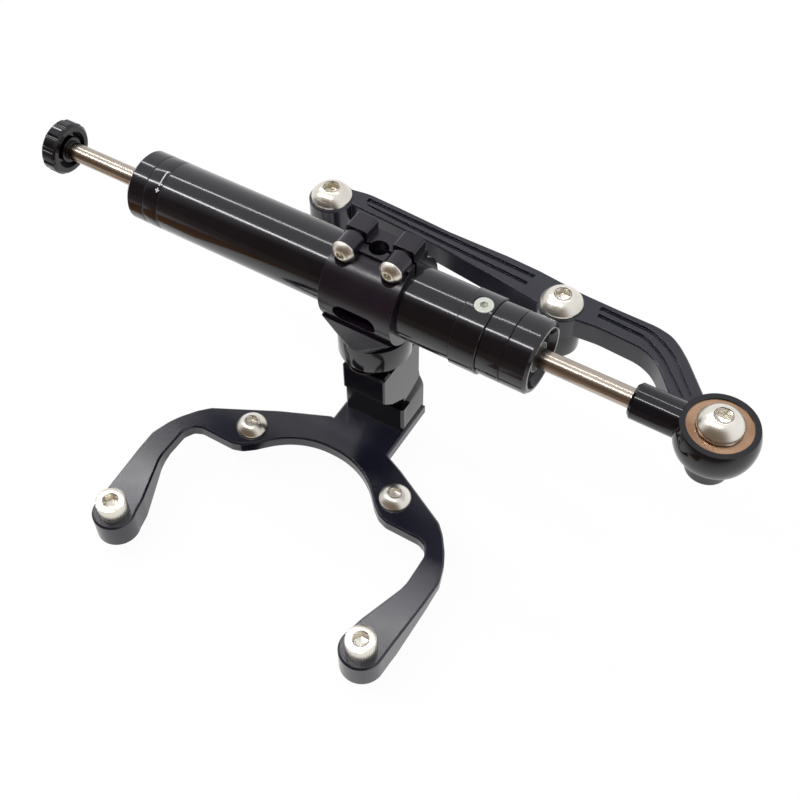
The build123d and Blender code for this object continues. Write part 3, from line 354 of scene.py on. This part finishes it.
# The clamp is duller, with a warm cast: bead blasted before anodising
satin_anodised = machined("black_anodised_blasted", "#0f0a13", "#1a121e", metallic=0.0, rough=(0.20, 0.28),
                          grain_mm=0.25, bump=0.06, edge_mm=EDGE_SOFTNESS, worn="#3c383e")
# Wet-looking black coating of the knob and the rod end
black_coated = machined("black_gloss_coated", "#06060b", "#0b0b14", metallic=0.0, rough=(0.08, 0.12),
                        grain_mm=2.0, bump=0.01, edge_mm=CRISP_EDGE)
# Polished A2 stainless screws with a cream cast and turning marks
stainless = machined("stainless_polished", "#d6cfc0", "#f2eee4", metallic=1.0, rough=(0.22, 0.34),
                     grain_mm=0.16, bump=0.06, edge_mm=SCREW_EDGE, turning=True)
# Hard chrome, ground along the rod
hard_chrome = machined("hard_chrome_ground", "#a89c90", "#bdb2a6", metallic=1.0, rough=(0.20, 0.26),
                       grain_mm=0.3, bump=0.0, edge_mm=0.05, stretch=(12, 1, 1))
bearing_chrome = machined("bearing_steel_polished", "#b8b6b2", "#dddbd6", metallic=1.0, rough=(0.08, 0.16),
                          grain_mm=0.4, bump=0.08, edge_mm=FINE_EDGE)
# Bronze race, darkened by handling
bronze = machined("bronze_machined", "#8a6850", "#b8977c", metallic=1.0, rough=(0.22, 0.34),
                  grain_mm=0.3, bump=0.10, edge_mm=CRISP_EDGE)
# Porous bronze soaked in oil is nearly black
oiled_bronze = machined("bronze_sintered_oiled", "#15100d", "#2a1f18", metallic=0.6, rough=(0.3, 0.45),
                        grain_mm=0.3, bump=0.15, edge_mm=FINE_EDGE)
plain_steel = machined("steel_zinc_plated", "#8b8b8d", "#b9b9b8", metallic=1.0, rough=(0.25, 0.40),
                       grain_mm=0.3, bump=0.25, edge_mm=SCREW_EDGE)
bare_alloy = machined("aluminium_bare_machined", "#bfc3b8", "#e2e5da", metallic=1.0, rough=(0.22, 0.36),
                      grain_mm=0.3, bump=0.25, edge_mm=SCREW_EDGE)
nitrile = machined("nitrile_rubber", "#0b0b0b", "#161616", metallic=0.0, rough=(0.45, 0.65),
                   grain_mm=0.4, bump=0.3, edge_mm=0.1)
filled_ptfe = machined("ptfe_bronze_filled", "#3a2a1e", "#57412f", metallic=0.0, rough=(0.35, 0.5),
                       grain_mm=0.3, bump=0.2, edge_mm=0.1)
pale_ink = printing_ink("pale_printing_ink", "#77777c", "#d8d8dc")

# ---------------------------------------------------------------- every node gets its finish; some keep their CAD shape
FINISH_OF_SLOT = {
    "black_anodised": black_anodised, "satin_black": satin_anodised, "black_coated": black_coated,
    "stainless": stainless, "chromed": bearing_chrome, "bronze": bronze, "steel": plain_steel, "alloy": bare_alloy,
    "rubber": nitrile, "ptfe": filled_ptfe,
}
for node, item in frame["nodes"].items():
    item.data.materials.clear()
    item.data.materials.append(FINISH_OF_SLOT[SLOT_OF[node]])

# ---------------------------------------------------------------- milled pieces
SWIVEL = sum(corner[:2] for corner in box_mm("swivel_neck")) / 2


def flat_nose(points):
    """The nose's round wall becomes a rectangle: at angle a its radius grows to min(R / |cos a|, F / |sin a|), for the
    half width R of that side and the front F. The right flank above the foot follows it, the underside slopes down
    evenly from the front to the column, and the column's front shrinks by the same share."""
    arm = points[:, :2] - SWIVEL
    radius = np.linalg.norm(arm, axis=1)
    across, y, z = arm[:, 0], points[:, 1], points[:, 2]
    out = points.copy()

    wall = (radius > BUSH_SEAT_R) & (radius < NOSE_R + NEAR) & (arm[:, 1] < -AHEAD) & (z > NOSE_BOTTOM - NEAR)
    side = np.where(across < 0, NOSE_LEFT, NOSE_RIGHT)
    share = np.minimum(side / np.maximum(np.abs(across), TINY), NOSE_FRONT / np.maximum(-arm[:, 1], TINY))
    out[wall, :2] = (SWIVEL + arm * (share * radius / NOSE_R)[:, None])[wall]

    flank = ~wall & (across > NOSE_R - NEAR) & (z > FOOT_TOP + NEAR)
    out[flank, 0] = np.maximum(out[flank, 0], SWIVEL[0] + NOSE_RIGHT)

    under = (np.abs(z - NOSE_BOTTOM) < NEAR / 2) & (radius < 2 * NOSE_R)
    front = SWIVEL[1] - NOSE_FRONT
    back_share = np.clip((out[under, 1] - front) / (COLUMN_FRONT - front), 0, 1)
    out[under, 2] = UNDER_FRONT + (UNDER_BACK - UNDER_FRONT) * back_share

    column = (y > COLUMN_FRONT - 2 * NEAR) & (y < FLARE_FRONT) & (z > FOOT_TOP + NEAR) & (z < NOSE_BOTTOM - NEAR)
    out[column, 2] = FOOT_TOP + (z[column] - FOOT_TOP) * (UNDER_BACK - FOOT_TOP) / (NOSE_BOTTOM - FOOT_TOP)
    return out


dressed("tank_bracket", black_anodised, rounding=BRACKET_ROUNDING)
dressed("steering_arm", black_anodised, rounding=ARM_ROUNDING)
dressed("bracket_post", black_turned, reshape=flat_nose)
for node, material in (("swivel_neck", black_turned), ("damper_clamp", satin_anodised),
                       ("filler_collar", black_turned), ("filler_plug", bare_alloy), ("end_spacer", plain_steel),
                       ("bearing_ball", bearing_chrome), ("knob_screw", plain_steel),
                       ("swivel_bushes", oiled_bronze)):
    dressed(node, material)

# ---------------------------------------------------------------- turned pieces on the damper's axis
rod_low, rod_high = box_mm("piston_rod")
AXIS_Y, AXIS_Z = (rod_low[1] + rod_high[1]) / 2, (rod_low[2] + rod_high[2]) / 2
AXIS_PLACE = (0, AXIS_Y, AXIS_Z)


def along(node):
    """First and last place of a node along the damper, and its radius, in millimetres."""
    low, high = box_mm(node)
    return low[0], high[0], (high[2] - low[2]) / 2


# the collar stands under the clamp's middle, wider than the neck it surrounds
points, run = turn(cornered(((COLLAR_BOTTOM, 0), (COLLAR_BOTTOM, COLLAR_R), (COLLAR_TOP, COLLAR_R), (COLLAR_TOP, 0)),
                            EDGE_SOFTNESS), (SWIVEL[0], AXIS_Y, 0), (0, 0, 1))
mesh_piece("neck_collar_turned", points, black_turned, "swivel_neck", TURNED_SHARP, uv=run, replace=False)

# tubes with soft edges
for node in ("cylinder_tube", "rear_ring", "reservoir_housing"):
    first, last, radius = along(node)
    section = ((first, BORE), (first, radius), (last, radius), (last, BORE), (first, BORE))
    points, run = turn(cornered(section, EDGE_SOFTNESS), AXIS_PLACE, (1, 0, 0))
    mesh_piece(node + "_turned", points, black_turned, node, TURNED_SHARP, uv=run)
for node in ("rear_cap", "front_cap"):
    dressed(node, black_turned)

first, last, radius = along("piston_rod")
section = ((first + ROD_HOLLOW, 0), (first + ROD_HOLLOW, ROD_BORE), (first, ROD_BORE), (first, radius - ROD_CHAMFER),
           (first + ROD_CHAMFER, radius), (last - ROD_CHAMFER, radius), (last, radius - ROD_CHAMFER), (last, 0))
points, run = turn(section, AXIS_PLACE, (1, 0, 0))
mesh_piece("piston_rod_ground", points, hard_chrome, "piston_rod", ROD_SHARP, uv=run)


# ---------------------------------------------------------------- screws
def hexagon(angle, rotation):
    """Distance to a hexagon's side over its distance at the middle of a side: 1 / cos((angle mod 60) - 30)."""
    return 1 / np.cos((angle - rotation) % (pi / 3) - pi / 6)


def thread(length, grip, pitch, crest):
    """Rows of a screw thread from -length to -grip: at angle a and height h, the phase (h / pitch - a / 2 pi) mod 1
    rises from root to crest and falls again, and the first turns taper to the tip."""
    root = crest - THREAD_DEPTH * pitch
    h = np.linspace(-length, -grip, int((length - grip) / pitch * THREAD_ROWS) + 1)

    def outline(a):
        phase = (h[:, None] / pitch - a[None, :] / (2 * pi)) % 1
        tooth = np.clip(TOOTH_TOP - np.abs(phase - 0.5) * TOOTH_SLOPE, 0, 1)
        fade = np.clip((h + length) / (THREAD_TAPER * pitch), 0, 1)
        return (root + (crest - root) * tooth * fade[:, None]) / crest

    return np.stack((h, np.full(len(h), crest)), 1), outline


def screw(place, axis, dome, key, socket, shank, pitch, rotation, knurl, sides):
    """Head, hex socket and threaded shank in one surface. Dome is the head's half profile from under the head to the
    socket's edge; the socket's rows are hexagons; the shank is plain over its grip and carries the thread beyond."""
    length, grip, stem = shank
    body_rows, body_outline = thread(length, grip, pitch, stem - THREAD_UNDER)
    dome = np.vstack((((-grip, stem),), dome))
    top = dome[-1, 0]
    floor = top - socket * SOCKET_POINT
    rows = np.vstack((((-length, 0),), body_rows, dome,
                      ((top - SOCKET_LIP, key * SOCKET_MOUTH), (top - SOCKET_CHAMFER * key, key),
                       (top - socket, key), (floor, SOCKET_TIP * key), (floor, 0))))
    first, last = 1 + len(body_rows), 1 + len(body_rows) + len(dome)

    def outline(a):
        out = np.ones((len(rows), len(a)))
        out[1:first] = body_outline(a)
        out[last + 1:last + 3] = hexagon(a, rotation)
        if knurl:
            side = (rows[:, 1] >= dome[:, 1].max() - TINY)[:, None]
            out -= side * knurl * np.abs(np.sin(KNURL_WAVES * a))[None, :] / dome[:, 1].max()
        return out

    return turn(rows, place, axis, outline, sides)


def button_dome(radius, height, shank_r):
    """Half profile of a button head: a low rim, then up from the rim by (height - rim) * (1 - (1 - t)^1.9), while the
    radius shrinks evenly to the crown."""
    t = np.linspace(0, 1, DOME_ROWS)
    rim, crown = DOME_RIM * height, DOME_CROWN * radius
    arc = np.stack((rim + (height - rim) * (1 - (1 - t) ** DOME_POWER), radius + (crown - radius) * t), 1)
    return np.vstack((((0, shank_r), (0, radius - FINE_EDGE), (FINE_EDGE, radius)), arc))


def cap_dome(radius, height, shank_r):
    """Half profile of a cylindrical socket head with a broken top edge."""
    down, inwards = CAP_BEND
    return np.array(((0, shank_r), (0, radius - CAP_FOOT_IN), (CAP_FOOT_UP, radius),
                     (height - CAP_EDGE - CAP_FOOT_UP, radius),
                     (height - down * CAP_EDGE, radius - inwards * CAP_EDGE), (height, radius - CAP_EDGE)))


def screws(node, places, axis, head, key, shank, pitch, dome=button_dome, rotation=0.0, knurl=0.0, sides=SIDES):
    """All the screws of one node: each is its own surface, joined into one piece that replaces the node."""
    radius, height = head
    made = []
    for number, place in enumerate(places):
        points, run = screw(place, axis, dome(radius, height, shank[2]), key, SOCKET_SHARE * height, shank, pitch,
                            rotation, knurl, sides)
        made.append(mesh_piece(f"{node}_{number}", points, stainless, node, SCREW_SHARP, uv=run, replace=False))
    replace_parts(join(node + "_threaded", made), node)


def upright_screws(node, shank_r, head, spots, held, pitch, key_share=BUTTON_KEY, **more):
    """Upright screws whose heads stand on the level found from the node's box; held is the thickness they clamp."""
    low, high = box_mm(node)
    seat = high[2] - head[1]
    screws(node, [(x, y, seat) for x, y in spots], (0, 0, 1), head, shank_r * key_share,
           (seat - low[2], held + SHANK_OUT, shank_r), pitch, **more)


def ends(node, radius):
    """The two round pieces of a node stand a radius in from the ends of its box."""
    low, high = box_mm(node)
    return [(low[0] + radius, high[1] - radius), (high[0] - radius, low[1] + radius)]


upright_screws("shoulder_bolts", M8_SHANK, M8_BUTTON, ends("shoulder_bolts", M8_BUTTON[0]), SHOULDER_HELD, M8_PITCH)
upright_screws("tip_screws", M8_SHANK, M8_CAP, ends("tip_screws", M8_CAP[0]), thickness("tank_bracket"), M8_PITCH,
               CAP_KEY, dome=cap_dome, knurl=KNURL, sides=KNURLED_SIDES)
upright_screws("arm_bolts", M10_SHANK, M10_BUTTON, ends("arm_bolts", M10_BUTTON[0]),
               thickness("steering_arm") + thickness("arm_spacers"), M10_PITCH)
upright_screws("end_bolt", M10_SHANK, END_BUTTON, [sum(corner[:2] for corner in box_mm("end_bolt")) / 2],
               thickness("bearing_ball") + thickness("end_spacer") - SHANK_OUT, M10_PITCH, rotation=radians(30))

low, high = box_mm("clamp_screws")
head_r, head_h = CLAMP_BUTTON
reach = high[1] - low[1] - head_h
screws("clamp_screws", [(x, low[1] + head_h, (low[2] + high[2]) / 2) for x in (low[0] + head_r, high[0] - head_r)],
       (0, -1, 0), CLAMP_BUTTON, M5_SHANK * BUTTON_KEY, (reach, reach / 2, M5_SHANK), M5_PITCH)

# ---------------------------------------------------------------- arm spacers, turned with a broken edge
low, high = box_mm("arm_spacers")
section = cornered(((low[2], SPACER_BORE), (low[2], SPACER_R), (high[2], SPACER_R), (high[2], SPACER_BORE),
                    (low[2], SPACER_BORE)), SPACER_EDGE)
made = []
for number, (x, y) in enumerate(ends("arm_spacers", SPACER_R)):
    points, run = turn(section, (x, y, 0), (0, 0, 1))
    made.append(mesh_piece(f"spacer_{number}", points, black_turned, "arm_spacers", TURNED_SHARP, uv=run,
                           replace=False))
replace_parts(join("arm_spacers_turned", made), "arm_spacers")


# ---------------------------------------------------------------- the adjuster's plain + mark, printed on the rear ring
def printed(name, spans, radius, node):
    """Flat strips of ink on a cylinder: each span is (x0, x1, angle0, angle1), laid on a grid of two rows of points at
    the cylinder's radius plus the ink's lift; angles run from straight up towards -Y."""
    made = []
    for number, (x0, x1, a0, a1) in enumerate(spans):
        a = np.radians(np.linspace(a0, a1, INK_STEPS))
        x = np.array((x0, x1))
        ring = np.stack((-np.sin(a), np.cos(a)), -1) * (radius + INK_LIFT)
        points = np.concatenate((np.broadcast_to(x[:, None, None], (2, INK_STEPS, 1)),
                                 np.broadcast_to(ring + (AXIS_Y, AXIS_Z), (2, INK_STEPS, 2))), -1) * MM
        made.append(mesh_piece(f"{name}_{number}", points, pale_ink, node, INK_SHARP, wrap=False, replace=False))
    return join(name, made)


first, last, radius = along("rear_ring")
mark_x = last - MARK_IN
# a long stroke round the ring, then the two strokes of the plus sign
printed("adjuster_mark", ((mark_x - STROKE, mark_x + STROKE, 6, 34),
                          (mark_x - PLUS_REACH, mark_x + PLUS_REACH, 40.4, 42.4),
                          (mark_x - STROKE, mark_x + STROKE, 37.6, 45.2)), radius, "rear_ring")

# ---------------------------------------------------------------- studio
TABLE_REACH = 6.0
SHEET_END, SHEET_FULL = -0.32, -0.10    # mirrored in the metal, the white sheet fades out between these Y
TABLE_SHARE = 0.95                      # of the sheet that glows; the rest takes the object's shadow
WHITE, DIM_SHEET, DIM_ROOM, CEILING = "#ffffff", "#7d6a5a", "#6e5f52", "#f4f4f8"
ROOM_Y, CEILING_Y = -0.66, -0.28        # direction Y at which the dim room and the bright ceiling begin
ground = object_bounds()[0].z


def sheet(name, x_span, y_span, z):
    """A level rectangle that isn't part of the object."""
    (x0, x1), (y0, y1) = x_span, y_span
    mesh = bpy.data.meshes.new(name)
    mesh.from_pydata([(x0, y0, z), (x1, y0, z), (x1, y1, z), (x0, y1, z)], [], [(0, 1, 2, 3)])
    item = bpy.data.objects.new(name, mesh)
    bpy.context.scene.collection.objects.link(item)
    return item


table = sheet("table", (-TABLE_REACH, TABLE_REACH), (-TABLE_REACH, TABLE_REACH), ground)
white_table, tree, output, coordinates = start("white_table")
path = add(tree, "ShaderNodeLightPath")
seen = add(tree, "ShaderNodeMath", {0: path.outputs["Is Camera Ray"], 1: path.outputs["Is Glossy Ray"]},
           operation="MAXIMUM")
seen = add(tree, "ShaderNodeMath", {0: seen.outputs[0], 1: path.outputs["Is Transmission Ray"]}, operation="MAXIMUM")
lit = add(tree, "ShaderNodeBsdfDiffuse", {"Color": linear(WHITE)})
spot = add(tree, "ShaderNodeSeparateXYZ", {0: coordinates.outputs["Object"]})
fade = add(tree, "ShaderNodeMapRange", {"Value": spot.outputs["Y"], "From Min": SHEET_END, "From Max": SHEET_FULL})
mirrored = blended(tree, fade.outputs[0], DIM_SHEET, WHITE)
glow = add(tree, "ShaderNodeEmission", {"Color": blended(tree, path.outputs["Is Camera Ray"], mirrored, WHITE)})
share = add(tree, "ShaderNodeMath", {0: seen.outputs[0], 1: TABLE_SHARE}, operation="MULTIPLY")
mixed = add(tree, "ShaderNodeMixShader", {0: share.outputs[0], 1: lit.outputs[0], 2: glow.outputs[0]})
tree.links.new(mixed.outputs[0], output.inputs["Surface"])
table.data.materials.append(white_table)

world = bpy.data.worlds.new("studio")
bpy.context.scene.world = world
world.use_nodes = True
tree = world.node_tree
tree.nodes.clear()
output = add(tree, "ShaderNodeOutputWorld")
coordinates = add(tree, "ShaderNodeTexCoord")
direction = add(tree, "ShaderNodeSeparateXYZ", {0: coordinates.outputs["Generated"]})
# a bright ceiling overhead and behind, the dim warm room in front
front = add(tree, "ShaderNodeMapRange", {"Value": direction.outputs["Y"], "From Min": ROOM_Y, "From Max": CEILING_Y})
surround = blended(tree, front.outputs[0], DIM_ROOM, CEILING)
path = add(tree, "ShaderNodeLightPath")
background = add(tree, "ShaderNodeBackground",
                 {"Color": blended(tree, path.outputs["Is Camera Ray"], surround, WHITE)})
tree.links.new(background.outputs[0], output.inputs["Surface"])


def lamp(name, place, size, radiance, aim=(0, 0.03, 0.05)):
    """Area lamp whose power gives the radiance: power = radiance * pi * area. It faces the aim; its first size runs
    along X."""
    data = bpy.data.lights.new(name, "AREA")
    data.shape = "RECTANGLE"
    data.size, data.size_y = size
    data.energy = radiance * pi * size[0] * size[1]
    item = bpy.data.objects.new(name, data)
    back = (Vector(place) - Vector(aim)).normalized()
    side = Vector((1, 0, 0))
    side = (side - side.dot(back) * back).normalized()
    item.matrix_world = Matrix.Translation(place) @ Matrix((side, back.cross(side), back)).transposed().to_4x4()
    item.visible_camera = False
    bpy.context.scene.collection.objects.link(item)


lamp("strip_overhead", (-0.4, -0.37, 1.0), (1.6, 0.05), 23)
lamp("strip_behind", (-0.4, 0.365, 0.98), (1.6, 0.04), 15)


def card(name, x_span, y_span, code):
    """A toned card on the table that only the metal's mirror images show."""
    item = sheet(name, x_span, y_span, ground + MM)
    material, tree, output, coordinates = start(name)
    glow = add(tree, "ShaderNodeEmission", {"Color": linear(code)})
    tree.links.new(glow.outputs[0], output.inputs["Surface"])
    item.data.materials.append(material)
    item.visible_camera = item.visible_diffuse = item.visible_shadow = False


card("card_front_right", (0.02, 0.11), (-0.30, -0.12), "#8a6c54")
card("card_front_left", (-0.25, -0.15), (-0.30, -0.03), "#a0764c")
card("card_before_post", (-0.036, 0.004), (-0.034, -0.014), "#08080e")

# ---------------------------------------------------------------- camera, from the photograph's perspective
AZIMUTH, ELEVATION, ROLL = radians(31.19), radians(52.41), radians(-0.2)
TARGET = Vector((7.86, 53.39, -0.5)) * MM
DISTANCE = 572.2 * MM
FOCAL_PIXELS, IMAGE_PIXELS, SENSOR = 1224.85, 800, 36.0
back = Vector((sin(AZIMUTH) * cos(ELEVATION), -cos(AZIMUTH) * cos(ELEVATION), sin(ELEVATION)))
right = Vector((cos(AZIMUTH), sin(AZIMUTH), 0))
up = back.cross(right)
turned_right = right * cos(ROLL) + up * sin(ROLL)
turned_up = up * cos(ROLL) - right * sin(ROLL)
camera_data = bpy.data.cameras.new("camera")
camera_data.sensor_width = SENSOR
camera_data.lens = SENSOR * FOCAL_PIXELS / IMAGE_PIXELS
camera = bpy.data.objects.new("camera", camera_data)
camera.matrix_world = (Matrix.Translation(TARGET + back * DISTANCE)
                       @ Matrix((turned_right, turned_up, back)).transposed().to_4x4())
bpy.context.scene.collection.objects.link(camera)
bpy.context.scene.camera = camera
bpy.context.scene.view_settings.view_transform = "Standard"
